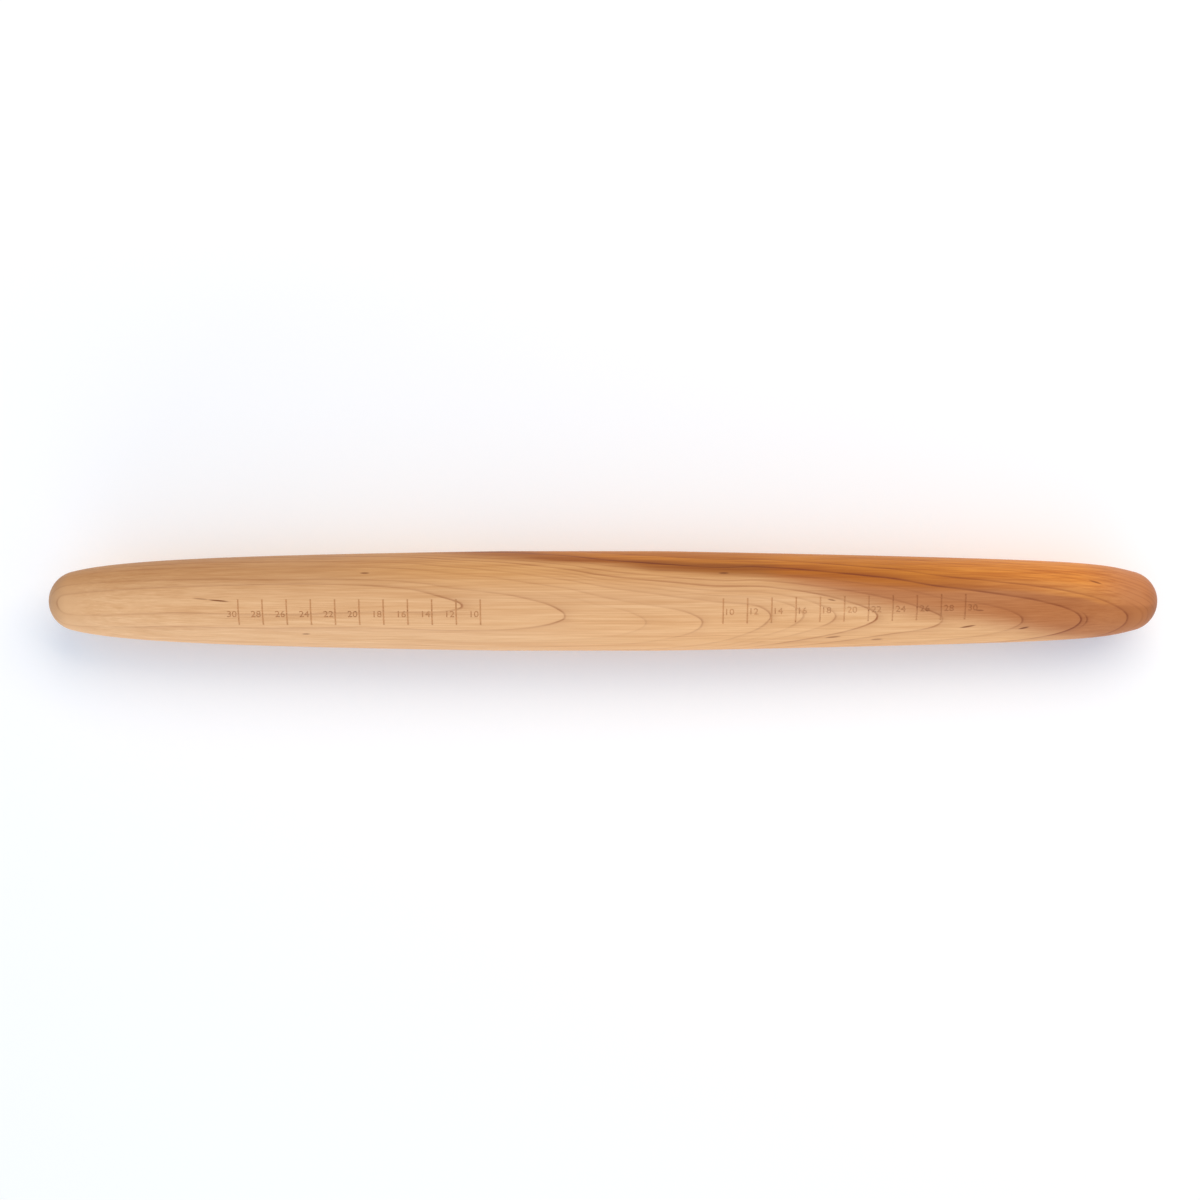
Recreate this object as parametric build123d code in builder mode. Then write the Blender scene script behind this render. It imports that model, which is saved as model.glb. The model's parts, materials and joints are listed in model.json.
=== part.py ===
from build123d import *
import os

# French rolling pin: one stick of hardwood, turned with no handles, axle or bearings.
# It lies along X, with its middle at the origin. Sizes are in millimetres.

# The whole pin
overall_length = 465.0
belly_diameter = 41.8

# The belly is straight, and its middle lies a little to the left of the pin's middle
belly_length = 63.0
belly_shift = -9.6

# Both noses are domes, left by their taper at this slope in degrees
nose_radius = 12.6
nose_slope = 15.0

# Each taper is one convex curve: it leaves the dome, bends at a knee into a long gentle slope
# and eases out level on the belly. The left one is full, the right one is slim behind its nose.
# Climb and knee height are shares of the taper's rise, knee place and ease shares of its run.
left_climb_share = 0.70
left_knee_shares = (0.43, 0.82)
left_ease_share = 0.02
right_climb_share = 0.56
right_knee_shares = (0.10, 0.575)
right_ease_share = 0.07

# Places that follow from the sizes
half_length = overall_length / 2
belly_radius = belly_diameter / 2
belly_left = belly_shift - belly_length / 2
belly_right = belly_shift + belly_length / 2
nose_arc = 90 - nose_slope


def taper_points(foot, leaving, shoulder, climb_share, knee_shares, ease_share):
    """Control points of one taper, from its foot on the nose to its shoulder on the belly."""
    across = shoulder - foot
    climb = foot + leaving * (across.Y * climb_share / leaving.Y)
    knee = foot + Vector(across.X * knee_shares[0], across.Y * knee_shares[1])
    ease = shoulder - Vector(across.X * ease_share, 0)
    return foot, climb, knee, ease, shoulder


# The pin: half of its outline, turned once about its own axis
with BuildPart() as tapered_pin:
    with BuildSketch(Plane.XZ):
        with BuildLine():
            left_nose = CenterArc((nose_radius - half_length, 0), nose_radius, 180, -nose_arc)
            right_nose = CenterArc((half_length - nose_radius, 0), nose_radius, 0, nose_arc)
            belly = Line((belly_left, belly_radius), (belly_right, belly_radius))
            Bezier(
                *taper_points(
                    left_nose @ 1,
                    left_nose % 1,
                    belly @ 0,
                    left_climb_share,
                    left_knee_shares,
                    left_ease_share,
                )
            )
            Bezier(
                *taper_points(
                    right_nose @ 1,
                    right_nose % 1,
                    belly @ 1,
                    right_climb_share,
                    right_knee_shares,
                    right_ease_share,
                )
            )
            Line(left_nose @ 0, right_nose @ 0)
        make_face()
    revolve(axis=Axis.X)
tapered_pin.part.label = "tapered_pin"

os.makedirs("parts", exist_ok=True)
export_step(tapered_pin.part, "parts/tapered_pin.step")
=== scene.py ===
"""Looks of a french rolling pin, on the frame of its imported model.

The turned stick, its burnt-in diameter scale, its oiled maple and the plain studio it lies in.
Sizes are in millimetres until they reach a mesh, which is in metres.
"""

import json
import logging
import math
from bisect import bisect_left
from collections.abc import Callable
from dataclasses import dataclass
from enum import Enum
from functools import cached_property, partial
from typing import NamedTuple

import bmesh
import bpy
from bmesh.types import BMesh, BMVert
from bpy.types import ID, Material, Mesh, Node, NodeSocket, NodeTree, Object
from mathutils import Matrix, Vector

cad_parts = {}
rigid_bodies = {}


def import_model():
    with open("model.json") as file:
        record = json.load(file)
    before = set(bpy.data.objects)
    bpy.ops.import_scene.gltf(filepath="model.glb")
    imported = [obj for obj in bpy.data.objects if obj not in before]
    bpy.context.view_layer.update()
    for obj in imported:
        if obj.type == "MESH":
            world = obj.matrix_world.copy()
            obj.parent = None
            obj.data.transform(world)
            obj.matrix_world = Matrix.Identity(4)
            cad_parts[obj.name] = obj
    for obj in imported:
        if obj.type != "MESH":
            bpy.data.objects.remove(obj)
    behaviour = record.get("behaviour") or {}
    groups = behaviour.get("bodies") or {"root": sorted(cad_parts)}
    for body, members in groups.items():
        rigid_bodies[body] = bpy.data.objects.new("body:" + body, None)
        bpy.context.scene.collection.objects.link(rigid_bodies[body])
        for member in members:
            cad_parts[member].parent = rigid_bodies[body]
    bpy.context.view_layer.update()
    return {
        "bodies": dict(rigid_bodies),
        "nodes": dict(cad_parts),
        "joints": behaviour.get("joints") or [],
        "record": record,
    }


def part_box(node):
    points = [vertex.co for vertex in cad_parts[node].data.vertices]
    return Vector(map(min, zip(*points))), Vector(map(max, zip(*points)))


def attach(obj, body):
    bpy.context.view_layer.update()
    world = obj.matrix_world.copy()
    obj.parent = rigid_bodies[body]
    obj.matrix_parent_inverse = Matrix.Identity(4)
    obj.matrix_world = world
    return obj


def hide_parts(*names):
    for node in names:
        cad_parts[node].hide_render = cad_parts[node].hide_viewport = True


LOG = logging.getLogger("rolling_pin")

MM = 0.001
CAD_NODE = "tapered_pin"
WHITE = "#ffffff"
NOISE_MEAN = 0.5

MATH = "ShaderNodeMath"
VECTOR_MATH = "ShaderNodeVectorMath"
SEPARATE = "ShaderNodeSeparateXYZ"
COORDINATES = "ShaderNodeTexCoord"
FLOAT_CURVE = "ShaderNodeFloatCurve"
MAP_RANGE = "ShaderNodeMapRange"
NOISE = "ShaderNodeTexNoise"
PRINCIPLED = "ShaderNodeBsdfPrincipled"
EMISSION = "ShaderNodeEmission"
BACKGROUND = "ShaderNodeBackground"
MIX_SHADER = "ShaderNodeMixShader"
OUTPUT = "ShaderNodeOutputMaterial"
MIX = "ShaderNodeMix"
MIX_FACTOR, MIX_A, MIX_B = 0, 6, 7

COLOUR = {"data_type": "RGBA"}
TINT = {"data_type": "RGBA", "blend_type": "MULTIPLY"}
SMOOTH = {"interpolation_type": "SMOOTHSTEP"}
PLUS = {"operation": "ADD"}
MINUS = {"operation": "SUBTRACT"}
TIMES = {"operation": "MULTIPLY"}
TIMES_PLUS = {"operation": "MULTIPLY_ADD"}
OVER = {"operation": "DIVIDE"}
LARGER = {"operation": "MAXIMUM"}
UNSIGNED = {"operation": "ABSOLUTE"}
MORE_THAN = {"operation": "GREATER_THAN"}
LENGTH = {"operation": "LENGTH"}

Adder = Callable[..., Node]


class Side(Enum):
    """Half of the pin, as the sign of its places along X."""

    LEFT = -1
    RIGHT = 1


def linear(colour: str) -> tuple[float, float, float, float]:
    """Turns an sRGB colour into the linear values that a shader takes.

    Args:
        colour: the colour as six hex digits, with or without a leading hash.

    Returns:
        Red, green, blue and an alpha of 1.
    """
    digits = colour.lstrip("#")
    parts = [int(digits[start : start + 2], 16) / 255 for start in (0, 2, 4)]
    red, green, blue = (
        part / 12.92 if part <= 0.04045 else ((part + 0.055) / 1.055) ** 2.4 for part in parts
    )
    return red, green, blue, 1.0


def add_node(
    tree: NodeTree,
    kind: str,
    settings: dict[str, object] | None = None,
    inputs: dict[str | int, object] | None = None,
) -> Node:
    """Adds a node with its settings and its inputs.

    Args:
        tree: the node tree that gets the node.
        kind: Blender's name for the kind of node.
        settings: properties of the node and their values.
        inputs: sockets by name or number. A node stands for the first output that it has in
            use, a socket is linked, a hex colour is made linear, and anything else becomes the
            socket's own value.

    Returns:
        The new node.
    """
    node = tree.nodes.new(kind)
    for name, value in (settings or {}).items():
        setattr(node, name, value)
    for socket, value in (inputs or {}).items():
        if isinstance(value, Node):
            value = next(output for output in value.outputs if output.enabled)
        if isinstance(value, NodeSocket):
            tree.links.new(value, node.inputs[socket])
        else:
            value = linear(value) if isinstance(value, str) else value
            node.inputs[socket].default_value = value
    return node


def new_material(name: str) -> tuple[Material, Adder]:
    """Makes an empty node material.

    Args:
        name: name of the real material and of how its surface was made.

    Returns:
        The material, with no nodes in it, and add_node for its tree.
    """
    material = bpy.data.materials.new(name)
    material.use_nodes = True
    material.node_tree.nodes.clear()
    return material, partial(add_node, material.node_tree)


class Station(NamedTuple):
    """One point of the pin's outline."""

    along: float
    radius: float
    slope: float


@dataclass(frozen=True)
class Taper:
    """Form of one taper, in shares of its own run and rise."""

    climb_share: float
    knee_shares: tuple[float, float]
    ease_share: float


@dataclass(frozen=True)
class PinProfile:
    """Outline of the turned stick: a dome, a taper, the straight belly, a taper and a dome."""

    half_length: float
    belly_radius: float
    belly_left: float
    belly_right: float
    nose_radius: float = 12.6
    nose_slope: float = 15.0
    left_taper: Taper = Taper(0.70, (0.43, 0.82), 0.02)
    right_taper: Taper = Taper(0.56, (0.10, 0.575), 0.07)
    nose_steps: int = 24
    taper_steps: int = 72
    belly_steps: int = 10

    @classmethod
    def from_frame(cls, frame: dict) -> "PinProfile":
        """Takes the length from the CAD box and the belly from the record's belly mount.


        Returns:
            The outline of this pin.
        """
        low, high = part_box(CAD_NODE)
        mounts = {mount["name"]: mount for mount in frame["record"]["mounts"]}
        belly = mounts["belly"]
        middle = belly["pos_m"][0] / MM
        half_belly = belly["dims"]["length_mm"] / 2
        return cls(
            half_length=(high.x - low.x) / 2 / MM,
            belly_radius=belly["dims"]["r_mm"],
            belly_left=middle - half_belly,
            belly_right=middle + half_belly,
        )

    def nose(self, side: Side) -> list[Station]:
        """Points of one dome, from its tip to the foot of its taper.

        Args:
            side: which end of the pin.

        Returns:
            The points, with the slope that the outline has from left to right.
        """
        centre = side.value * (self.half_length - self.nose_radius)
        sweep = math.radians(90 - self.nose_slope)
        stations = []
        for step in range(self.nose_steps + 1):
            angle = sweep * step / self.nose_steps
            along = centre + side.value * self.nose_radius * math.cos(angle)
            slope = -side.value * (math.pi / 2 - angle)
            stations.append(Station(along, self.nose_radius * math.sin(angle), slope))
        return stations

    def taper(self, side: Side) -> list[Station]:
        """Points of one taper, from its foot on the dome to its shoulder on the belly.

        Args:
            side: which half of the pin.

        Returns:
            The points of one smooth curve with five control points.
        """
        form = self.left_taper if side is Side.LEFT else self.right_taper
        shoulder_along = self.belly_left if side is Side.LEFT else self.belly_right
        foot_station = self.nose(side)[-1]
        foot = Vector((foot_station.along, foot_station.radius))
        shoulder = Vector((shoulder_along, self.belly_radius))
        slope = math.radians(self.nose_slope)
        leaving = Vector((-side.value * math.cos(slope), math.sin(slope)))
        across = shoulder - foot
        controls = [
            foot,
            foot + leaving * (across.y * form.climb_share / leaving.y),
            foot + Vector((across.x * form.knee_shares[0], across.y * form.knee_shares[1])),
            shoulder - Vector((across.x * form.ease_share, 0)),
            shoulder,
        ]
        stations = []
        for step in range(self.taper_steps + 1):
            share = step / self.taper_steps
            points = controls
            while len(points) > 2:
                points = [a.lerp(b, share) for a, b in zip(points, points[1:])]
            place = points[0].lerp(points[1], share)
            direction = (points[1] - points[0]) * -side.value
            stations.append(Station(place.x, place.y, math.atan2(direction.y, direction.x)))
        return stations

    @cached_property
    def outline(self) -> list[Station]:
        """The whole outline, from the left tip to the right one."""
        left = self.nose(Side.LEFT) + self.taper(Side.LEFT)[1:]
        right = self.nose(Side.RIGHT) + self.taper(Side.RIGHT)[1:]
        run = self.belly_right - self.belly_left
        belly = [
            Station(self.belly_left + run * step / self.belly_steps, self.belly_radius, 0.0)
            for step in range(1, self.belly_steps)
        ]
        return left + belly + right[::-1]

    def at(self, along: float) -> Station:
        """Point of the outline at a place along the pin.

        Args:
            along: the place, from the pin's middle.

        Returns:
            The point between the two nearest points of the outline.
        """
        outline = self.outline
        after = bisect_left(outline, along, key=lambda station: station.along)
        after = min(max(after, 1), len(outline) - 1)
        first, last = outline[after - 1], outline[after]
        share = (along - first.along) / (last.along - first.along)
        share = min(max(share, 0.0), 1.0)
        return Station(*(a + (b - a) * share for a, b in zip(first, last)))


def new_object(name: str, data: ID) -> Object:
    """Makes an object and puts it in the scene.

    Args:
        name: name of the object.
        data: its mesh, letters, lamp or camera.

    Returns:
        The object.
    """
    piece = bpy.data.objects.new(name, data)
    bpy.context.scene.collection.objects.link(piece)
    return piece


def mesh_from(bm: BMesh, name: str) -> Mesh:
    """Turns a bmesh in millimetres into a mesh in metres, and frees the bmesh.

    Args:
        bm: the finished bmesh.
        name: name of the mesh.

    Returns:
        The new mesh.
    """
    bmesh.ops.scale(bm, verts=bm.verts, vec=Vector((MM, MM, MM)))
    mesh = bpy.data.meshes.new(name)
    bm.to_mesh(mesh)
    bm.free()
    return mesh


def difference(body: Mesh, cutter: Mesh, name: str) -> Mesh:
    """Cuts one closed mesh out of another.

    Args:
        body: the mesh that is cut.
        cutter: the mesh that cuts.
        name: name of the result.

    Returns:
        The cut mesh, on its own.
    """
    objects = [new_object(mesh.name, mesh) for mesh in (body, cutter)]
    cut = objects[0].modifiers.new("cut", "BOOLEAN")
    cut.operation = "DIFFERENCE"
    cut.solver = "EXACT"
    cut.object = objects[1]
    graph = bpy.context.evaluated_depsgraph_get()
    result = bpy.data.meshes.new_from_object(objects[0].evaluated_get(graph))
    result.name = name
    for piece in objects:
        bpy.data.objects.remove(piece)
    return result


@dataclass(frozen=True)
class EngravedScale:
    """Diameter scale burnt into the pin: ticks a centimetre apart, each with its number.

    Two ticks with the same number are that many centimetres apart.
    """

    profile: PinProfile
    middle: float = -0.5
    centimetre: float = 10.0
    first_number: int = 10
    last_number: int = 30
    number_step: int = 2
    tick_length: float = 10.4
    tick_width: float = 0.58
    left_top: float = 0.6
    right_top: float = 1.0
    right_climb: float = 0.018
    fan: float = 0.03
    numeral_height: float = 2.55
    numeral_width: float = 3.9
    numeral_resolution: int = 3
    left_gap: float = 0.75
    right_gap: float = 1.2
    left_drop: float = 6.0
    right_drop: float = 5.5
    burn_depth: float = 0.2
    cutter_top: float = 26.0
    tick_steps: int = 16
    merge_distance: float = 1e-4

    def tick_place(self, side: Side, number: int) -> Vector:
        """Place of the upper end of a tick.

        Args:
            side: which run of the scale.
            number: the tick's number.

        Returns:
            Its X and Y.
        """
        out = number * self.centimetre / 2
        if side is Side.LEFT:
            return Vector((self.middle - out, self.left_top))
        first = self.first_number * self.centimetre / 2
        return Vector((self.middle + out, self.right_top + self.right_climb * (out - first)))

    def raise_mark(self, bm: BMesh, flat: BMesh) -> None:
        """Raises a flat outline into a cutter whose floor lies at the burn's depth everywhere.

        Args:
            bm: the bmesh that holds the cutters.
            flat: the outline, seen from above the pin. It is freed.
        """
        grown = bmesh.ops.extrude_face_region(flat, geom=flat.faces[:])
        raised = {part for part in grown["geom"] if isinstance(part, BMVert)}
        for vertex in flat.verts:
            if vertex in raised:
                vertex.co.z = self.cutter_top
                continue
            radius = self.profile.at(vertex.co.x).radius - self.burn_depth
            vertex.co.z = math.sqrt(radius**2 - vertex.co.y**2)
        bmesh.ops.recalc_face_normals(flat, faces=flat.faces)
        mesh = bpy.data.meshes.new("mark")
        flat.to_mesh(mesh)
        flat.free()
        bm.from_mesh(mesh)
        bpy.data.meshes.remove(mesh)

    def add_tick(self, bm: BMesh, side: Side, number: int) -> None:
        """Adds the slab that cuts one tick. The ticks fan out a little towards their tops.

        Args:
            bm: the bmesh that holds the cutters.
            side: which run of the scale.
            number: the tick's number.
        """
        top = self.tick_place(side, number)
        middle = Vector((top.x, top.y - self.tick_length / 2, 0))
        lean = Matrix.Identity(4)
        lean[0][1] = side.value * self.fan * number / self.last_number
        size = Matrix.Diagonal((self.tick_width, self.tick_length, 1, 1))
        place = Matrix.Translation(middle) @ lean @ size
        flat = bmesh.new()
        bmesh.ops.create_grid(
            flat, x_segments=1, y_segments=self.tick_steps, size=0.5, matrix=place
        )
        self.raise_mark(bm, flat)

    def numeral(self, number: int) -> BMesh:
        """Makes the flat outline of a number, in Blender's own letters of size 1.

        Args:
            number: the number.

        Returns:
            A bmesh with the faces of its figures.
        """
        letters = bpy.data.curves.new("figures", "FONT")
        letters.body = str(number)
        letters.resolution_u = self.numeral_resolution
        letters.fill_mode = "FRONT"
        piece = new_object("figures", letters)
        graph = bpy.context.evaluated_depsgraph_get()
        mesh = bpy.data.meshes.new_from_object(piece.evaluated_get(graph))
        bpy.data.objects.remove(piece)
        bpy.data.curves.remove(letters)
        bm = bmesh.new()
        bm.from_mesh(mesh)
        bpy.data.meshes.remove(mesh)
        bmesh.ops.remove_doubles(bm, verts=bm.verts, dist=self.merge_distance)
        bmesh.ops.beautify_fill(bm, faces=bm.faces, edges=bm.edges)
        return bm

    @cached_property
    def figure_scale(self) -> Vector:
        """Scale of a letter size of 1 at which the last number has its real size."""
        bm = self.numeral(self.last_number)
        across = [vertex.co.x for vertex in bm.verts]
        up = [vertex.co.y for vertex in bm.verts]
        bm.free()
        width = self.numeral_width / (max(across) - min(across))
        return Vector((width, self.numeral_height / (max(up) - min(up)), 1))

    def add_numeral(self, bm: BMesh, side: Side, number: int) -> None:
        """Adds the cutter of one number, beside its tick and on its outer side.

        Args:
            bm: the bmesh that holds the cutters.
            side: which run of the scale.
            number: the number.
        """
        figures = self.numeral(number)
        bmesh.ops.scale(figures, verts=figures.verts, vec=self.figure_scale)
        top = self.tick_place(side, number)
        across = [vertex.co.x for vertex in figures.verts]
        if side is Side.LEFT:
            shift = Vector((top.x - self.left_gap - max(across), top.y - self.left_drop))
        else:
            shift = Vector((top.x + self.right_gap - min(across), top.y - self.right_drop))
        shift.y -= self.numeral_height / 2
        bmesh.ops.translate(figures, verts=figures.verts, vec=shift.to_3d())
        self.raise_mark(bm, figures)

    def cutter(self) -> Mesh:
        """Makes the cutters of the whole scale.

        Returns:
            One mesh of all the cutters, whose faces take the second material.
        """
        bm = bmesh.new()
        for side in Side:
            for number in range(self.first_number, self.last_number + 1, self.number_step):
                self.add_tick(bm, side, number)
                self.add_numeral(bm, side, number)
        for face in bm.faces:
            face.material_index = 1
        return mesh_from(bm, "burnt_marks")


@dataclass(frozen=True)
class TurnedPin:
    """The stick itself, turned from one billet."""

    profile: PinProfile
    scale: EngravedScale
    segments: int = 160
    pole_merge: float = 1e-4
    pole_radius: float = 0.01

    def lathe(self) -> Mesh:
        """Spins the outline once about X.

        Returns:
            A closed mesh with its faces outwards.
        """
        bm = bmesh.new()
        first, *others = self.profile.outline
        vertex = bm.verts.new((first.along, 0, first.radius))
        for station in others:
            vertex = bmesh.ops.extrude_vert_indiv(bm, verts=[vertex])["verts"][0]
            vertex.co = (station.along, 0, station.radius)
        bmesh.ops.spin(
            bm,
            geom=bm.verts[:] + bm.edges[:],
            cent=(0, 0, 0),
            axis=(1, 0, 0),
            angle=math.tau,
            steps=self.segments,
            use_merge=True,
        )
        bmesh.ops.remove_doubles(bm, verts=bm.verts, dist=self.pole_merge)
        bmesh.ops.recalc_face_normals(bm, faces=bm.faces)
        return mesh_from(bm, "lathed_stick")

    def shade(self, mesh: Mesh) -> None:
        """Gives the turned surface the normals of the true outline, and each mark its own.

        Args:
            mesh: the cut mesh, whose burnt faces have the second material.
        """
        mesh.polygons.foreach_set("use_smooth", [True] * len(mesh.polygons))
        normals = [Vector((0, 0, 1))] * len(mesh.loops)
        for polygon in mesh.polygons:
            for corner in polygon.loop_indices:
                if polygon.material_index:
                    normals[corner] = polygon.normal.copy()
                    continue
                place = mesh.vertices[mesh.loops[corner].vertex_index].co
                slope = self.profile.at(place.x / MM).slope
                out = Vector((0, place.y, place.z))
                out = out.normalized() if out.length > self.pole_radius * MM else Vector((0, 0, 0))
                normals[corner] = out * math.cos(slope) + Vector((-math.sin(slope), 0, 0))
        mesh.normals_split_custom_set(normals)

    def build(self, materials: list[Material]) -> Object:
        """Builds the pin, with its scale cut in.

        Args:
            materials: the turned surface's material and the burnt marks' one.

        Returns:
            The finished piece, riding on the part's one body.
        """
        body = self.lathe()
        cutter = self.scale.cutter()
        for material in materials:
            body.materials.append(material)
            cutter.materials.append(material)
        mesh = difference(body, cutter, "turned_pin")
        self.shade(mesh)
        piece = new_object("turned_pin", mesh)
        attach(piece, "root")
        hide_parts(CAD_NODE)
        return piece


class Span(NamedTuple):
    """A stretch of a value, over which something goes from none of it to all of it."""

    start: float
    end: float

    def of(self, value: object) -> dict[str, object]:
        """Inputs that turn a value into its share of the stretch."""
        return {"Value": value, "From Min": self.start, "From Max": self.end}


class Streak(NamedTuple):
    """A noise that is drawn out along the grain, by the length and width of its streaks."""

    length: float
    width: float
    detail: float = 3.0
    roughness: float = 0.6

    def node(self, add: Adder, place: object) -> Node:
        """Adds the noise.

        Args:
            add: add_node for the material's tree.
            place: node that holds the point in millimetres.

        Returns:
            The noise node, whose values lie about NOISE_MEAN.
        """
        reach = (1 / self.length, 1 / self.width, 1 / self.width)
        stretched = add(VECTOR_MATH, TIMES, {0: place, 1: reach})
        look = {"Scale": 1.0, "Detail": self.detail, "Roughness": self.roughness}
        return add(NOISE, {}, {"Vector": stretched, **look})


@dataclass(frozen=True)
class AlongPin:
    """A quantity that changes smoothly along the pin, from a few places and their values."""

    places: tuple[float, ...]
    values: tuple[float, ...]
    curve_reach: float = 232.5

    def node(self, add: Adder, along: object) -> Node:
        """Adds the nodes that give the quantity, from a curve that spans the pin.

        Args:
            add: add_node for the material's tree.
            along: node or socket that holds the place along the pin.

        Returns:
            The node whose output is the quantity, and whose value comes from the curve.
        """
        reach = self.curve_reach
        share = add(MAP_RANGE, {}, Span(-reach, reach).of(along))
        curve = add(FLOAT_CURVE, {}, {"Value": share})
        low, high = min(self.values), max(self.values)
        points = curve.mapping.curves[0].points
        for place, value in zip(self.places, self.values):
            where = ((place + reach) / (2 * reach), (value - low) / (high - low))
            if place == self.places[0]:
                points[0].location = where
            elif place == self.places[-1]:
                points[-1].location = where
            else:
                points.new(*where)
        curve.mapping.update()
        return add(MAP_RANGE, {}, {"Value": curve, "To Min": low, "To Max": high})

    def read(self, node: Node, along: float) -> float:
        """Reads the quantity at one place.

        Args:
            node: the node that gives the quantity.
            along: the place along the pin.

        Returns:
            The same value that the shader gets there.
        """
        mapping = node.inputs["Value"].links[0].from_node.mapping
        share = (along + self.curve_reach) / (2 * self.curve_reach)
        low, high = min(self.values), max(self.values)
        mapping.initialize()
        return low + (high - low) * mapping.evaluate(mapping.curves[0], share)


class Ring(NamedTuple):
    """A growth ring that comes out as a pointed loop on the engraved side.

    Its line has its full strength at the loop's point, and a share of it along both flanks.
    """

    nose: float
    strength: float
    flank_share: float = 0.45


@dataclass(frozen=True)
class GrowthRings:
    """Growth rings of a flat-sawn billet, as nested shells that sink along the stick.

    The height of a shell falls from the left end to the right one, so where the turned surface
    cuts the shells they come out as loops that all point right. The ridge is the line that the
    points of the loops lie on. A fold above the ridge crowds the lines there on the left half.
    """

    ridge_angle: AlongPin = AlongPin(
        (-230, -120, -58, -16, 20, 42, 70, 112, 142, 198, 230), (7, -5, 6, 17, 26, 26, 19, 19, 26, 30, 37)
    )
    sinking: AlongPin = AlongPin(
        (-230, -190, -120, -50, 30, 110, 180, 230), (21.5, 16, 13.5, 10, 1.5, -9, -16, -26.5)
    )
    fold: AlongPin = AlongPin((-230, -200, -160, -119, -80, -30, 40, 80), (0, 1, 2, 3.5, 3.2, 2, 0.5, 0))
    fold_degrees: Span = Span(-12.0, -27.0)
    bow: float = -0.25
    skew: float = 0.3
    wander: Streak = Streak(45.0, 9.0, 2.0, 0.5)
    wander_reach: tuple[float, float, float] = (4.0, 1.5, 0.0)
    rings: tuple[Ring, ...] = (
        Ring(-58.5, 0.8),
        Ring(-15.7, 0.8),
        Ring(17.8, 0.25),
        Ring(41.2, 0.55),
        Ring(69.1, 0.7),
        Ring(82.7, 0.5),
        Ring(95.7, 0.6),
        Ring(112.6, 1.0, 0.6),
        Ring(140.1, 0.8, 0.6),
        Ring(173.5, 0.65),
        Ring(198.0, 1.0, 1.0),
        Ring(200.6, 0.8, 0.3),
        Ring(217.8, 0.95, 0.7),
    )
    line_share: AlongPin = AlongPin((-230, -205, -165, 0, 230), (0.5, 0.8, 1, 1, 1))
    line_section: tuple[tuple[float, float], ...] = (
        (0.0, 0.0), (0.2, 0.1), (0.43, 0.3), (0.49, 1.0), (0.51, 1.0), (0.55, 0.06), (0.6, 0.0), (1.0, 0.0)
    )
    flanks: Span = Span(0.06, 0.3)
    line_width: float = 0.6
    fade_width: float = 5.0
    least_slope: float = 0.03
    slope_step: float = 4.0
    tip_margin: float = 0.02
    deep_spacing: float = 2.4
    deep_strength: float = 0.25
    deep_noise: float = 0.8
    patch: Streak = Streak(28.0, 3.0, 2.0, 0.5)
    patch_fade: Span = Span(0.3, 0.6)
    patch_least: float = 0.45


class ShellField(NamedTuple):
    """Nodes that tell how a point lies to the growth shells, and the height of each ring."""

    height: object
    slope: object
    off_ridge: object
    ring_heights: list[float]


class Fleck(NamedTuple):
    """A short dark gum fleck on the engraved side, by its middle."""

    along: float
    up: float
    length: float
    rise: float = 0.0
    strength: float = 1.0


class Spot(NamedTuple):
    """Nodes that give a point in millimetres, its parts, and the wood's streaks there."""

    place: object
    along: object
    up: object
    out: object
    bands: object
    streaks: object


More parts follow.
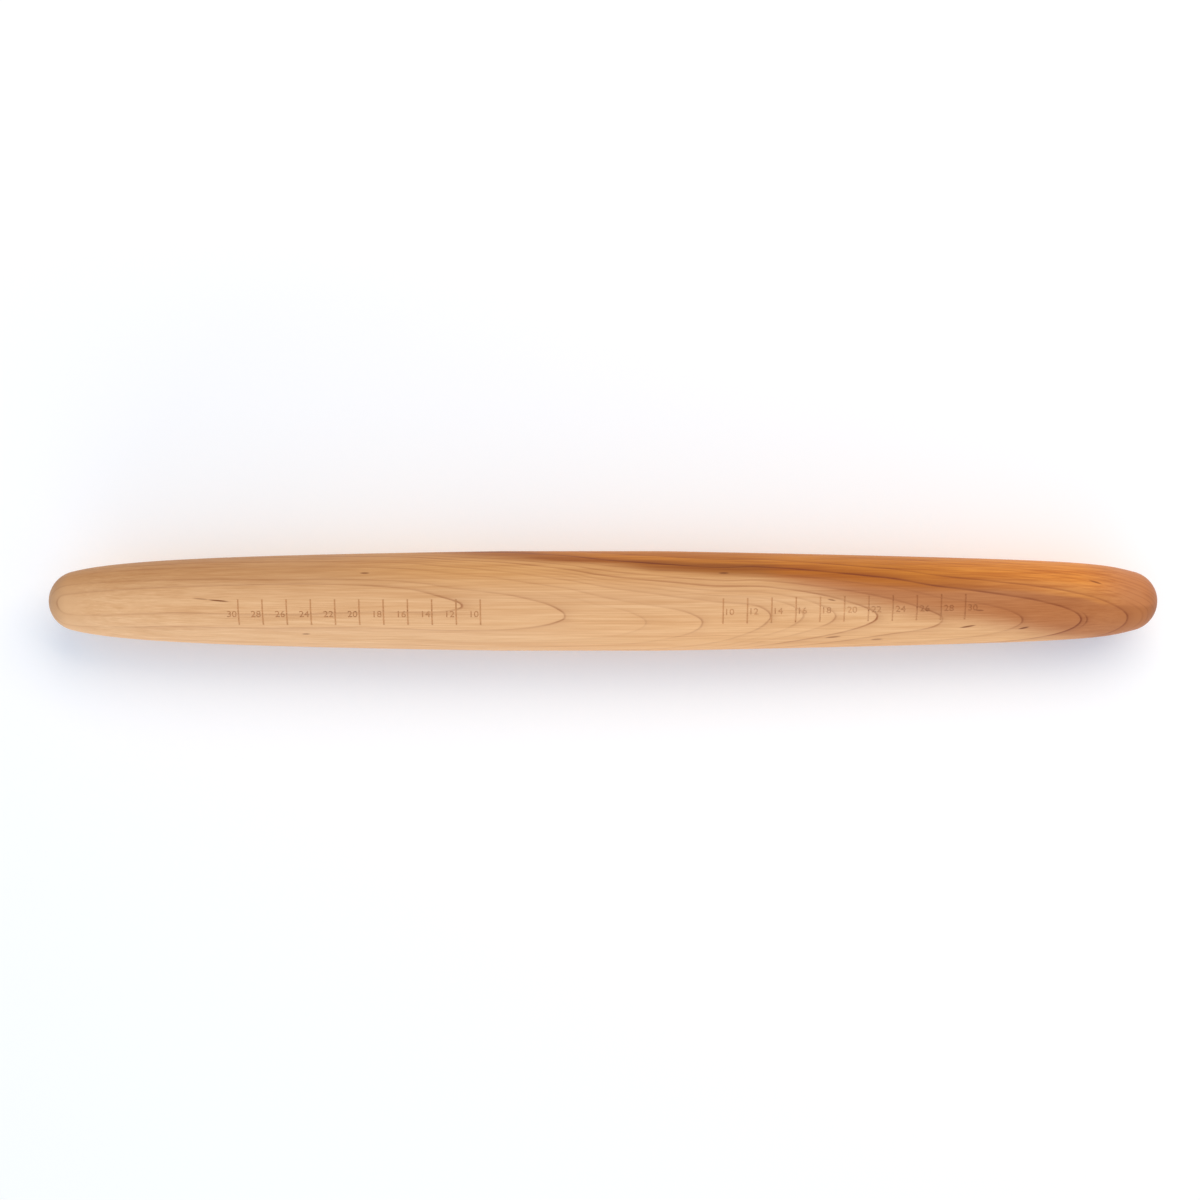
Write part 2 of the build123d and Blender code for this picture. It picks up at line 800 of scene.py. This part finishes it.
@dataclass(frozen=True)
class OiledMaple:
    """Hard maple, turned, sanded fine and oiled.

    The eye sees pale honey sapwood with thin brown ring lines and a few gum flecks, a pinkish
    brown zone and an orange heartwood streak with a dark brown margin, under a soft satin
    sheen with fine long fibres. Both domes show end grain, which drinks more oil. The fibres
    are drawn coarser than real ones, so that they show, and fade where the noses cut them.
    """

    profile: PinProfile
    rings: GrowthRings = GrowthRings()
    sapwood: str = "#edc08f"
    sapwood_streak: str = "#e4b484"
    # Tint towards the lower side, mostly on the right half: partly the wood's own gold and partly painted
    # warm light on the lower side.
    gold_tint: str = "#fff7e9"
    gold_across: Span = Span(0.0, -18.0)
    gold_share: AlongPin = AlongPin((-230, -80, 60, 230), (0, 0.1, 1, 1))
    # Deeper tone towards the upper side: partly the wood's own tone and partly painted shade where the
    # upper side turns from the light, strongest on the left nose.
    sapwood_brown: str = "#c2905d"
    sapwood_amber: str = "#cd944e"
    amber_along: Span = Span(-130.0, -40.0)
    deep_across: Span = Span(0.0, 14.0)
    deep_share: AlongPin = AlongPin(
        (-230, -200, -120, -50, 0, 60, 230), (1.5, 1.1, 0.9, 0.7, 0.6, 0.6, 0.5)
    )
    edge_wander: float = 3.0
    rose: str = "#c0804f"
    rose_nose: str = "#bb7744"
    rose_along: Span = Span(140.0, 190.0)
    rose_edge: AlongPin = AlongPin(
        (20, 60, 82, 101, 114, 130, 147, 163, 180, 205, 228),
        (30, 16, 8, 2.5, -0.5, -4, -6, -8.5, -12, -17, -20),
    )
    rose_fade: Span = Span(-7.0, 4.5)
    heartwood: str = "#e0903c"
    heartwood_brown: str = "#cb8129"
    heartwood_start: str = "#985c20"
    start_share: AlongPin = AlongPin((-230, -40, 0, 30, 55, 80, 230), (0, 0.6, 0.55, 0.7, 0.7, 0.15, 0))
    start_fade: float = -0.7
    heartwood_margin: str = "#b66914"
    heartwood_pale: str = "#dc944c"
    heartwood_nose: str = "#cd8854"
    heart_axis: AlongPin = AlongPin(
        (-110, -60, -44, -30, -18, 0, 24, 49, 82, 115, 148, 163, 181, 197, 213, 228),
        (26, 21.6, 20.1, 18.8, 17.5, 16.4, 14.8, 13.3, 12, 8.6, 6, 5.6, 4.4, 2.6, -0.6, -1),
    )
    heart_spread: AlongPin = AlongPin(
        (-230, -60, -30, -18, 0, 24, 82, 100, 150, 181, 228),
        (5, 4.6, 3.6, 3, 2.8, 4.6, 5.2, 5.5, 4, 2.5, 2.4),
    )
    heart_fade: Span = Span(-1.0, 0.0)
    heart_depth: AlongPin = AlongPin((-230, 40, 90, 150, 228), (2.5, 3, 4.5, 6.5, 7))
    depth_start: float = 0.5
    margin_paling: AlongPin = AlongPin((-230, 100, 150, 180, 205, 228), (0, 0, 0.3, 0.85, 0.9, 1))
    paling_along: Span = Span(110.0, 205.0)
    nose_along: Span = Span(196.0, 222.0)
    line_tint: str = "#b59079"
    fibre_tint: str = "#f0e9e0"
    fibre_dark: Span = Span(0.65, 0.35)
    streak_tint: str = "#f5eee6"
    streak_dark: Span = Span(0.62, 0.34)
    heart_streak_tint: str = "#efe4d6"
    heart_streak_dark: Span = Span(0.56, 0.32)
    fibre_lean: Span = Span(0.28, 0.06)
    end_grain_tint: str = "#eee6df"
    end_grain_lean: Span = Span(0.2, 0.9)
    fibre: Streak = Streak(30.0, 0.45)
    streak: Streak = Streak(70.0, 1.6)
    band: Streak = Streak(90.0, 4.0)
    flecks: tuple[Fleck, ...] = (
        Fleck(-165.9, 0.8, 8.0, -0.09, 0.5),
        Fleck(-158.7, 0.1, 10.0, -0.09),
        Fleck(-123.0, -13.7, 4.0, 0.0, 0.6),
        Fleck(-98.5, 11.5, 4.5, 0.0, 0.8),
        Fleck(49.9, 11.5, 5.0, 0.0, 0.8),
        Fleck(94.2, 0.4, 4.0, -0.2, 0.7),
        Fleck(95.4, -15.0, 7.5, 0.1, 0.7),
        Fleck(113.8, -16.0, 6.0, 0.05, 0.6),
        Fleck(151.0, -10.6, 7.5, 0.16),
        Fleck(155.6, -3.9, 4.0, -0.05, 0.6),
        Fleck(174.5, -11.2, 5.0, 0.2),
        Fleck(204.1, 7.8, 6.3, -0.3, 0.8),
    )
    fleck_width: float = 0.8
    fleck_tint: str = "#a0826c"
    fleck_fade: Span = Span(1.1, 0.45)
    fibre_relief: float = 0.05
    relief_strength: float = 0.15
    roughness: float = 0.5
    specular: float = 0.25

    def lean(self, add: Adder) -> NodeSocket:
        """Adds the part of the surface's normal that points along the pin."""
        normal = add(COORDINATES).outputs["Normal"]
        return add(SEPARATE, {}, {0: normal}).outputs["X"]

    def ring_field(self, add: Adder, place: object) -> ShellField:
        """Adds the height of the growth shells at a point, and how steeply it changes there.

        Args:
            add: add_node for the material's tree.
            place: node that holds the point in millimetres.

        Returns:
            The height, its slope along the surface, how far off the ridge line the point is,
            and the height of each ring.
        """
        grain = self.rings
        wander = grain.wander.node(add, place).outputs["Color"]
        centred = add(VECTOR_MATH, MINUS, {0: wander, 1: (NOISE_MEAN,) * 3})
        sized = add(VECTOR_MATH, TIMES, {0: centred, 1: grain.wander_reach})
        moved = add(VECTOR_MATH, PLUS, {0: place, 1: sized})
        along, up, out = add(SEPARATE, {}, {0: moved}).outputs
        crosswise = add(VECTOR_MATH, TIMES, {0: place, 1: (0, 1, 1)})
        radius = add(VECTOR_MATH, LENGTH, {0: crosswise})

        down = add(MATH, TIMES, {0: up, 1: -1.0})
        angle = add(MATH, {"operation": "ARCTAN2"}, {0: down, 1: out})
        ridge = grain.ridge_angle.node(add, along)
        ridge = add(MATH, {"operation": "RADIANS"}, {0: ridge})
        off_ridge = add(MATH, MINUS, {0: angle, 1: ridge})
        sine = add(MATH, {"operation": "SINE"}, {0: off_ridge})
        cosine = add(MATH, {"operation": "COSINE"}, {0: off_ridge})

        # The height is radius * (cosine + sine ** 2 * (skew * sine + bow)), sunk and folded.
        sinking = grain.sinking.node(add, along)
        lift = add(MATH, TIMES_PLUS, {0: sine, 1: grain.skew, 2: grain.bow})
        sine_squared = add(MATH, TIMES, {0: sine, 1: sine})
        shape = add(MATH, TIMES_PLUS, {0: sine_squared, 1: lift, 2: cosine})
        height = add(MATH, TIMES_PLUS, {0: radius, 1: shape, 2: sinking})
        fold = grain.fold.node(add, along)
        fold_span = Span(*(math.radians(degrees) for degrees in grain.fold_degrees))
        folded = add(MAP_RANGE, SMOOTH, fold_span.of(off_ridge))
        folded = add(MATH, TIMES, {0: folded, 1: fold})
        height = add(MATH, MINUS, {0: height, 1: folded})

        # Its slope round the pin has that form's derivative, and 6 * share * (1 - share) for
        # the fold's smooth step.
        turn = add(MATH, TIMES_PLUS, {0: sine, 1: 3 * grain.skew, 2: 2 * grain.bow})
        turn = add(MATH, TIMES, {0: turn, 1: cosine})
        turn = add(MATH, MINUS, {0: turn, 1: 1.0})
        slope_round = add(MATH, TIMES, {0: turn, 1: sine})
        share = add(MAP_RANGE, {}, fold_span.of(off_ridge))
        rest = add(MATH, MINUS, {0: 1.0, 1: share})
        steep = add(MATH, TIMES, {0: share, 1: rest})
        steep = add(MATH, TIMES, {0: steep, 1: 6 / (fold_span.start - fold_span.end)})
        steep = add(MATH, TIMES, {0: steep, 1: fold})
        steep = add(MATH, OVER, {0: steep, 1: radius})
        slope_round = add(MATH, PLUS, {0: slope_round, 1: steep})

        # Its slope along the pin comes from the taper and from the sinking a step ahead.
        lean = self.lean(add)
        lean_squared = add(MATH, TIMES, {0: lean, 1: lean})
        upright = add(MATH, MINUS, {0: 1.0 + grain.tip_margin, 1: lean_squared})
        upright = add(MATH, {"operation": "SQRT"}, {0: upright})
        taper = add(MATH, OVER, {0: lean, 1: upright})
        climb = add(MATH, TIMES, {0: taper, 1: shape})
        ahead = add(MATH, PLUS, {0: along, 1: grain.slope_step})
        ahead = grain.sinking.node(add, ahead)
        fall = add(MATH, MINUS, {0: ahead, 1: sinking})
        fall = add(MATH, OVER, {0: fall, 1: grain.slope_step})
        slope_along = add(MATH, MINUS, {0: fall, 1: climb})
        slopes = {0: slope_along, 1: slope_round, 2: grain.least_slope}
        slope = add(VECTOR_MATH, LENGTH, {0: add("ShaderNodeCombineXYZ", {}, slopes)})

        # A ring's shell meets the ridge line at the ring's point.
        heights = [
            grain.sinking.read(sinking, ring.nose) + self.profile.at(ring.nose).radius
            for ring in grain.rings
        ]
        return ShellField(height, slope, add(MATH, UNSIGNED, {0: sine}), heights)

    def ring_lines(self, add: Adder, spot: Spot) -> Node:
        """Adds the thin brown line of each ring, with a soft fade on its outer side.

        Args:
            add: add_node for the material's tree.
            spot: the point.

        Returns:
            Node that gives the darkness of the lines, from 0 to 1.
        """
        grain = self.rings
        height, slope, off_ridge, ring_heights = self.ring_field(add, spot.place)
        flank = add(MAP_RANGE, {}, grain.flanks.of(off_ridge))
        fade = Span(-grain.fade_width, grain.fade_width)
        total = 0.0
        for ring, ring_height in zip(grain.rings, ring_heights):
            above = add(MATH, MINUS, {0: height, 1: ring_height})
            away = add(MATH, OVER, {0: above, 1: slope})
            share = add(MAP_RANGE, {}, fade.of(away))
            dark = add(FLOAT_CURVE, {}, {"Value": share})
            points = dark.mapping.curves[0].points
            for share_and_depth in grain.line_section[1:-1]:
                points.new(*share_and_depth)
            points[0].location = grain.line_section[0]
            points[-1].location = grain.line_section[-1]
            for point in points:
                point.handle_type = "VECTOR"
            dark.mapping.update()
            loss = ring.strength * (ring.flank_share - 1)
            strength = add(MATH, TIMES_PLUS, {0: flank, 1: loss, 2: ring.strength})
            dark = add(MATH, TIMES, {0: dark, 1: strength})
            total = add(MATH, LARGER, {0: total, 1: dark})

        # Under the deepest of these rings, fainter ones follow at uneven steps.
        deepest = min(ring_heights) - grain.deep_spacing / 2
        below = add(MATH, MINUS, {0: deepest, 1: height})
        count = add(MATH, OVER, {0: below, 1: grain.deep_spacing})
        uneven = {"W": count, "Scale": grain.deep_noise, "Detail": 0.0}
        uneven = add(NOISE, {"noise_dimensions": "1D"}, uneven)
        count = add(MATH, PLUS, {0: count, 1: uneven})
        phase = add(MATH, {"operation": "FRACT"}, {0: count})
        centred = add(MATH, MINUS, {0: phase, 1: 0.5})
        offset = add(MATH, UNSIGNED, {0: centred})
        offset = add(MATH, TIMES, {0: offset, 1: grain.deep_spacing})
        away = add(MATH, OVER, {0: offset, 1: slope})
        line = {**Span(grain.line_width, 0.0).of(away), "To Max": grain.deep_strength}
        line = add(MAP_RANGE, SMOOTH, line)
        started = add(MATH, MORE_THAN, {0: below, 1: 0.0})
        line = add(MATH, TIMES, {0: line, 1: started})
        total = add(MATH, LARGER, {0: total, 1: line})

        patches = grain.patch_fade.of(grain.patch.node(add, spot.place))
        strength = add(MAP_RANGE, {}, {**patches, "To Min": grain.patch_least})
        total = add(MATH, TIMES, {0: total, 1: strength})
        share = grain.line_share.node(add, spot.along)
        return add(MATH, TIMES, {0: total, 1: share})

    def sapwood_tone(self, add: Adder, spot: Spot) -> Node:
        """Adds the pale sapwood, deeper in tone towards the upper edge and golden at the lower one. The
        deeper tone is partly the wood's own and partly painted shade on the upper side. The gold is partly
        the wood's own and partly painted warm light on the lower side.

        Args:
            add: add_node for the material's tree.
            spot: the point.

        Returns:
            Node that gives the colour.
        """
        tone = {MIX_FACTOR: spot.bands, MIX_A: self.sapwood_streak, MIX_B: self.sapwood}
        tone = add(MIX, COLOUR, tone)
        amber = add(MAP_RANGE, SMOOTH, self.amber_along.of(spot.along))
        amber = {MIX_FACTOR: amber, MIX_A: self.sapwood_brown, MIX_B: self.sapwood_amber}
        amber = add(MIX, COLOUR, amber)
        for blend, across, amount, colour in (
            # Gold towards the lower side: partly the wood's own and partly painted warm light.
            (TINT, self.gold_across, self.gold_share, self.gold_tint),
            # Deeper tone towards the upper side: partly the wood's own and partly painted shade.
            (COLOUR, self.deep_across, self.deep_share, amber),
        ):
            share = add(MAP_RANGE, SMOOTH, across.of(spot.up))
            amount = amount.node(add, spot.along)
            share = add(MATH, TIMES, {0: share, 1: amount})
            tone = add(MIX, blend, {MIX_FACTOR: share, MIX_A: tone, MIX_B: colour})
        return tone

    def above_edge(self, add: Adder, edge: AlongPin, spot: Spot) -> Node:
        """Adds how far a point lies above an edge, which wanders with the broad streaks.

        Args:
            add: add_node for the material's tree.
            edge: height of the edge along the pin.
            spot: the point.

        Returns:
            Node that gives the distance in millimetres.
        """
        height = edge.node(add, spot.along)
        above = add(MATH, MINUS, {0: spot.up, 1: height})
        above = add(MATH, TIMES_PLUS, {0: spot.bands, 1: self.edge_wander, 2: above})
        return add(MATH, MINUS, {0: above, 1: self.edge_wander * NOISE_MEAN})

    def rose_tone(self, add: Adder, tone: object, spot: Spot) -> Node:
        """Adds the pinkish brown zone under the heartwood, which is browner towards the right nose.

        Args:
            add: add_node for the material's tree.
            tone: colour of the wood so far.
            spot: the point.

        Returns:
            Node that gives the colour.
        """
        above = self.above_edge(add, self.rose_edge, spot)
        cover = add(MAP_RANGE, SMOOTH, self.rose_fade.of(above))
        nose = add(MAP_RANGE, SMOOTH, self.rose_along.of(spot.along))
        rose = add(MIX, COLOUR, {MIX_FACTOR: nose, MIX_A: self.rose, MIX_B: self.rose_nose})
        return add(MIX, COLOUR, {MIX_FACTOR: cover, MIX_A: tone, MIX_B: rose})

    def heartwood_tone(self, add: Adder, tone: object, spot: Spot) -> Node:
        """Adds the heartwood of the upper right: a dark margin that opens into orange brown.

        Args:
            add: add_node for the material's tree.
            tone: colour of the wood so far.
            spot: the point.

        Returns:
            Node that gives the colour.
        """
        along = spot.along
        above = self.above_edge(add, self.heart_axis, spot)
        spread = self.heart_spread.node(add, along)
        share = add(MATH, OVER, {0: above, 1: spread})
        cover = add(MAP_RANGE, SMOOTH, self.heart_fade.of(share))
        pale = add(MAP_RANGE, SMOOTH, self.paling_along.of(along))
        inner = {MIX_FACTOR: pale, MIX_A: self.heartwood_brown, MIX_B: self.heartwood}
        inner = add(MIX, COLOUR, inner)
        pale = self.margin_paling.node(add, along)
        margin = {MIX_FACTOR: pale, MIX_A: self.heartwood_margin, MIX_B: self.heartwood_pale}
        margin = add(MIX, COLOUR, margin)
        depth = self.heart_depth.node(add, along)
        depth = add(MAP_RANGE, SMOOTH, Span(self.depth_start, depth).of(above))
        heart = add(MIX, COLOUR, {MIX_FACTOR: depth, MIX_A: margin, MIX_B: inner})
        nose = add(MAP_RANGE, SMOOTH, self.nose_along.of(along))
        start = self.start_share.node(add, along)
        kept = add(MATH, TIMES_PLUS, {0: depth, 1: self.start_fade, 2: 1.0})
        start = add(MATH, TIMES, {0: start, 1: kept})
        dark = add(MAP_RANGE, {}, self.heart_streak_dark.of(spot.streaks))
        for blend, share, colour in (
            (COLOUR, nose, self.heartwood_nose),
            (COLOUR, start, self.heartwood_start),
            (TINT, dark, self.heart_streak_tint),
        ):
            heart = add(MIX, blend, {MIX_FACTOR: share, MIX_A: heart, MIX_B: colour})
        return add(MIX, COLOUR, {MIX_FACTOR: cover, MIX_A: tone, MIX_B: heart})

    def fleck_marks(self, add: Adder, spot: Spot) -> Node:
        """Adds the gum flecks, on the engraved side alone.

        Args:
            add: add_node for the material's tree.
            spot: the point.

        Returns:
            Node that gives the darkness of the flecks, from 0 to 1.
        """
        total = 0.0
        for fleck in self.flecks:
            fit = {
                "Vector": spot.place,
                "Location": (fleck.along, fleck.up, 0),
                "Rotation": (0, 0, math.atan(fleck.rise)),
                "Scale": (fleck.length / 2, self.fleck_width / 2, self.profile.half_length),
            }
            fitted = add("ShaderNodeMapping", {"vector_type": "TEXTURE"}, fit)
            mark = self.fleck_fade.of(add(VECTOR_MATH, LENGTH, {0: fitted}))
            mark = add(MAP_RANGE, SMOOTH, {**mark, "To Max": fleck.strength})
            total = add(MATH, LARGER, {0: total, 1: mark})
        facing = add(MATH, MORE_THAN, {0: spot.out, 1: 0.0})
        return add(MATH, TIMES, {0: total, 1: facing})

    def tone(self, add: Adder) -> tuple[Node, Node, object]:
        """Adds the whole colour of the wood.

        Args:
            add: add_node for the material's tree.

        Returns:
            Nodes of the colour and of the fine fibres, and the place along the pin.
        """
        place = add(COORDINATES).outputs["Object"]
        place = add(VECTOR_MATH, {"operation": "SCALE"}, {0: place, "Scale": 1 / MM})
        along, up, out = add(SEPARATE, {}, {0: place}).outputs
        lean = add(MATH, UNSIGNED, {0: self.lean(add)})
        kept = add(MAP_RANGE, SMOOTH, self.fibre_lean.of(lean))
        fibres, streaks = (
            add(MAP_RANGE, {}, {"Value": kept, "To Min": NOISE_MEAN, "To Max": grain.node(add, place)})
            for grain in (self.fibre, self.streak)
        )

        spot = Spot(place, along, up, out, self.band.node(add, place), streaks)
        tone = self.sapwood_tone(add, spot)
        tone = self.rose_tone(add, tone, spot)
        tone = self.heartwood_tone(add, tone, spot)
        for dark, tint in (
            (self.ring_lines(add, spot), self.line_tint),
            (add(MAP_RANGE, {}, self.streak_dark.of(streaks)), self.streak_tint),
            (add(MAP_RANGE, {}, self.fibre_dark.of(fibres)), self.fibre_tint),
            (self.fleck_marks(add, spot), self.fleck_tint),
            (add(MAP_RANGE, SMOOTH, self.end_grain_lean.of(lean)), self.end_grain_tint),
        ):
            tone = add(MIX, TINT, {MIX_FACTOR: dark, MIX_A: tone, MIX_B: tint})
        return tone, fibres, along

    def material(self) -> Material:
        """Makes the material.

        Returns:
            The material of the turned surface.
        """
        material, add = new_material("hard_maple_sanded_and_oiled")
        tone, fibres, _ = self.tone(add)
        relief = {"Strength": self.relief_strength, "Distance": self.fibre_relief * MM}
        relief = add("ShaderNodeBump", {}, {"Height": fibres, **relief})
        sheen = {"Roughness": self.roughness, "Specular IOR Level": self.specular}
        surface = add(PRINCIPLED, {}, {"Base Color": tone, "Normal": relief, **sheen})
        add(OUTPUT, {}, {"Surface": surface})
        return material


@dataclass(frozen=True)
class ScorchedMaple:
    """Maple burnt by the engraver's beam: a matt brown scorch with no sheen.

    The wood's own tone shows through. The right run is burnt a little more faintly.
    """

    maple: OiledMaple
    scorch_tint: str = "#eee0d1"
    right_along: Span = Span(45.0, 105.0)
    right_strength: float = 0.45
    roughness: float = 0.85
    ior: float = 1.5

    def material(self) -> Material:
        """Makes the material.

        Returns:
            The material of the burnt marks.
        """
        material, add = new_material("maple_laser_scorched")
        tone, _, along = self.maple.tone(add)
        strength = {"To Min": 1.0, "To Max": self.right_strength}
        strength = add(MAP_RANGE, {}, {**self.right_along.of(along), **strength})
        tone = add(MIX, TINT, {MIX_FACTOR: strength, MIX_A: tone, MIX_B: self.scorch_tint})
        surface = {"Base Color": tone, "Roughness": self.roughness, "IOR": self.ior}
        add(OUTPUT, {}, {"Surface": add(PRINCIPLED, {}, surface)})
        return material


@dataclass(frozen=True)
class Lamp:
    """A soft panel lamp that faces the pin."""

    name: str
    colour: str
    power: float
    place: tuple[float, float, float]
    width: float
    height: float


@dataclass(frozen=True)
class Studio:
    """Plain white sweep, two soft panels and a camera straight above the pin."""

    floor_level: float
    floor_colour: str = "#f6f6f6"
    floor_size: float = 6000.0
    floor_lift: float = 0.1
    lift_colour: str = "#f6f6f6"
    white_from: float = 320.0
    white_to: float = 1000.0
    sky_colour: str = "#d9eaff"
    sky_strength: float = 0.8
    lamps: tuple[Lamp, ...] = (
        Lamp("warm_panel", "#ffe6c4", 15.6, (440.0, 860.0, 1230.0), 1800.0, 900.0),
        Lamp("low_panel", "#fbf5ee", 13.0, (-220.0, -1560.0, 240.0), 1800.0, 500.0),
    )
    camera_height: float = 1020.0
    camera_shift: tuple[float, float] = (-1.25, 0.37)
    view_width: float = 504.0
    sensor: float = 36.0

    def seen_share(self, add: Adder) -> Node:
        """Adds the share that is 1 where a surface is seen, also in gloss or through glass.

        Args:
            add: add_node for the tree of a material or of the world.

        Returns:
            Node that gives the share.
        """
        path = add("ShaderNodeLightPath").outputs
        seen = path["Is Camera Ray"]
        for other in ("Is Glossy Ray", "Is Transmission Ray"):
            seen = add(MATH, LARGER, {0: seen, 1: path[other]})
        return seen

    def add_floor(self) -> None:
        """Adds the white floor that the pin lies on.

        Where it is seen it is lifted a little near the pin, and plain white far from it.
        """
        bm = bmesh.new()
        bmesh.ops.create_grid(bm, x_segments=1, y_segments=1, size=self.floor_size / 2)
        bmesh.ops.translate(bm, verts=bm.verts, vec=Vector((0, 0, self.floor_level)))
        floor = new_object("floor", mesh_from(bm, "floor"))
        material, add = new_material("paper_sweep_matt_white")
        paper = add("ShaderNodeBsdfDiffuse", {}, {"Color": self.floor_colour})
        seen = self.seen_share(add)
        lift = add(MATH, TIMES, {0: seen, 1: self.floor_lift})
        glow = add(EMISSION, {}, {"Color": self.lift_colour, "Strength": lift})
        near = add("ShaderNodeAddShader", {}, {0: paper, 1: glow})
        away = add(VECTOR_MATH, LENGTH, {0: add(COORDINATES).outputs["Object"]})
        far = Span(self.white_from * MM, self.white_to * MM).of(away)
        far = add(MAP_RANGE, SMOOTH, {**far, "To Max": seen})
        white = add(EMISSION, {}, {"Color": WHITE})
        surface = add(MIX_SHADER, {}, {0: far, 1: near, 2: white})
        add(OUTPUT, {}, {"Surface": surface})
        floor.data.materials.append(material)

    def add_lights(self) -> None:
        """Adds the sky, which is plain white where it is seen, and the two panels."""
        world = bpy.data.worlds.new("studio")
        bpy.context.scene.world = world
        world.use_nodes = True
        world.node_tree.nodes.clear()
        add = partial(add_node, world.node_tree)
        light = add(BACKGROUND, {}, {"Color": self.sky_colour, "Strength": self.sky_strength})
        white = add(BACKGROUND, {}, {"Color": WHITE})
        sky = add(MIX_SHADER, {}, {0: self.seen_share(add), 1: light, 2: white})
        add("ShaderNodeOutputWorld", {}, {"Surface": sky})
        for lamp in self.lamps:
            data = bpy.data.lights.new(lamp.name, "AREA")
            data.shape = "RECTANGLE"
            data.size = lamp.width * MM
            data.size_y = lamp.height * MM
            data.color = linear(lamp.colour)[:3]
            data.energy = lamp.power
            light = new_object(lamp.name, data)
            light.location = Vector(lamp.place) * MM
            light.rotation_euler = (-light.location).to_track_quat("-Z", "Y").to_euler()

    def add_camera(self) -> None:
        """Adds the camera, which looks straight down with the pin's length across the view."""
        data = bpy.data.cameras.new("camera")
        data.sensor_width = self.sensor
        data.lens = self.sensor * self.camera_height / self.view_width
        camera = new_object("camera", data)
        camera.location = Vector((*self.camera_shift, self.camera_height)) * MM
        bpy.context.scene.camera = camera

    def build(self) -> None:
        """Sets up the whole studio."""
        bpy.context.scene.view_settings.view_transform = "Standard"
        self.add_camera()
        self.add_lights()
        self.add_floor()


def main() -> None:
    """Builds the pin and its studio on the loaded frame."""
    logging.basicConfig(level=logging.INFO, format="%(name)s: %(message)s")
    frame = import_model()
    profile = PinProfile.from_frame(frame)
    maple = OiledMaple(profile)
    finishes = [maple.material(), ScorchedMaple(maple).material()]
    pin = TurnedPin(profile, EngravedScale(profile)).build(finishes)
    LOG.info("%s: %d faces", pin.name, len(pin.data.polygons))
    Studio(floor_level=-profile.belly_radius).build()
    LOG.info("studio: floor, sky, panels and camera")


if __name__ == "__main__":
    main()
